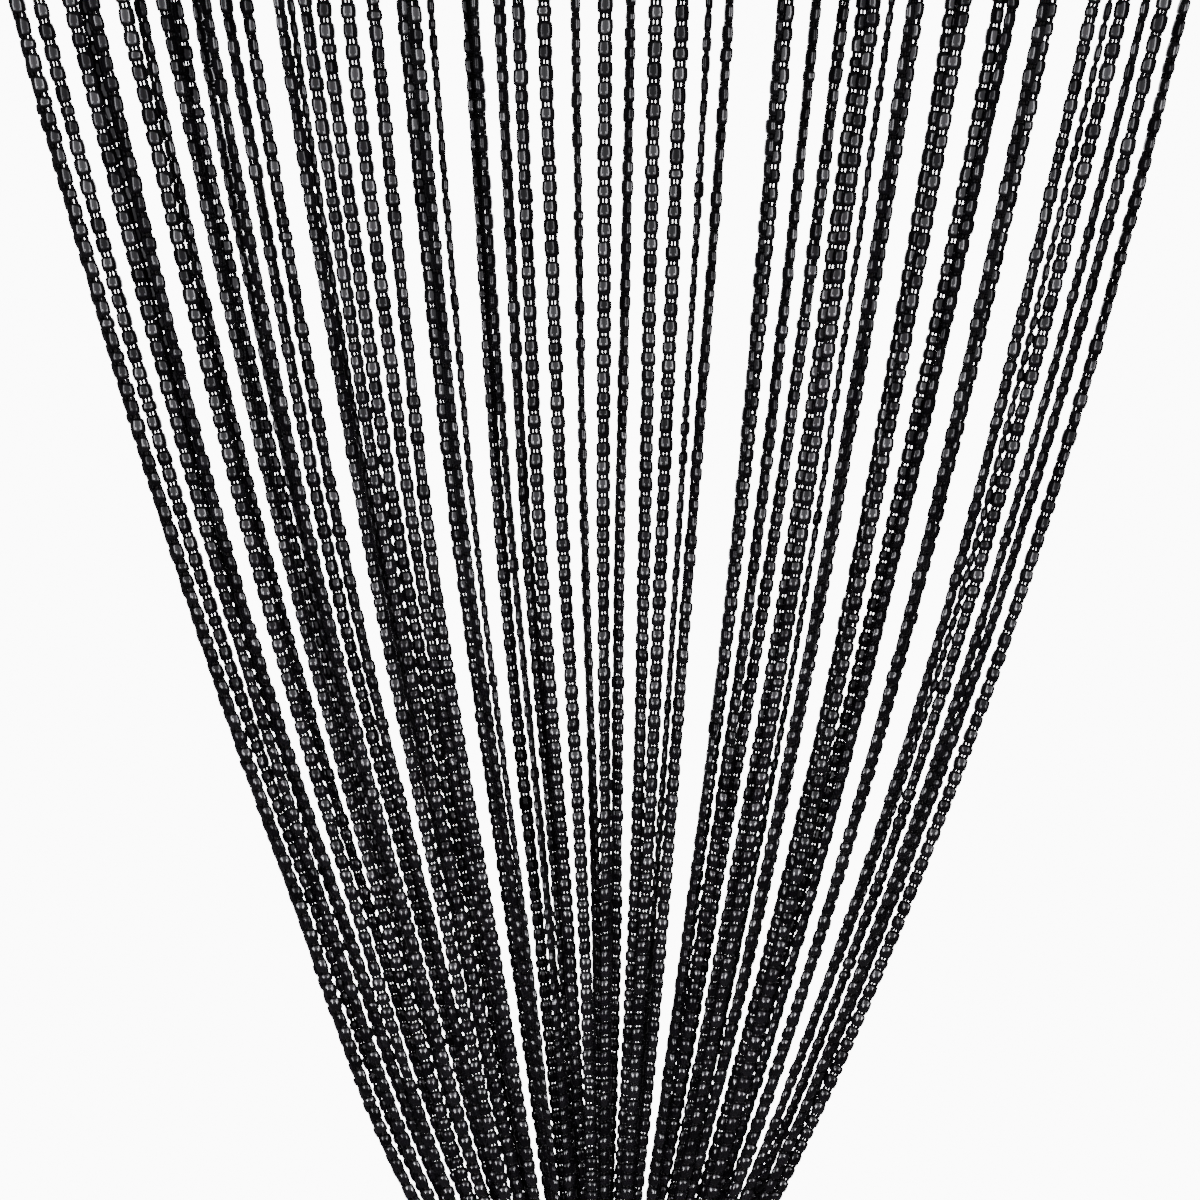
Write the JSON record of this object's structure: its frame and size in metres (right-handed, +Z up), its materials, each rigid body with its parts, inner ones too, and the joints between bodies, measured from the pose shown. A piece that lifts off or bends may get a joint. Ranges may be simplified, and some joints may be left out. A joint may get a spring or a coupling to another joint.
{
  "type": "string door curtain",
  "caption": "String door curtain of glossy black flat beads, hung from a rod-pocket heading and gathered by a plain tie band into a fan above and a tail below.",
  "frame": {"origin": "middle of the heading's top edge", "axes": "+Z up, +X along the heading to the right seen from the front, +Y towards the back"},
  "size_m": [0.9, 0.0913, 1.997],
  "materials": {
    "heading_cloth": "matt black woven tape",
    "beads": "polished black acrylic",
    "tie_cloth": "black woven band with a slight sheen"
  },
  "bodies": {
    "root": {"heading": "heading_cloth", "strands": "beads", "tie": "tie_cloth"}
  },
  "joints": []
}
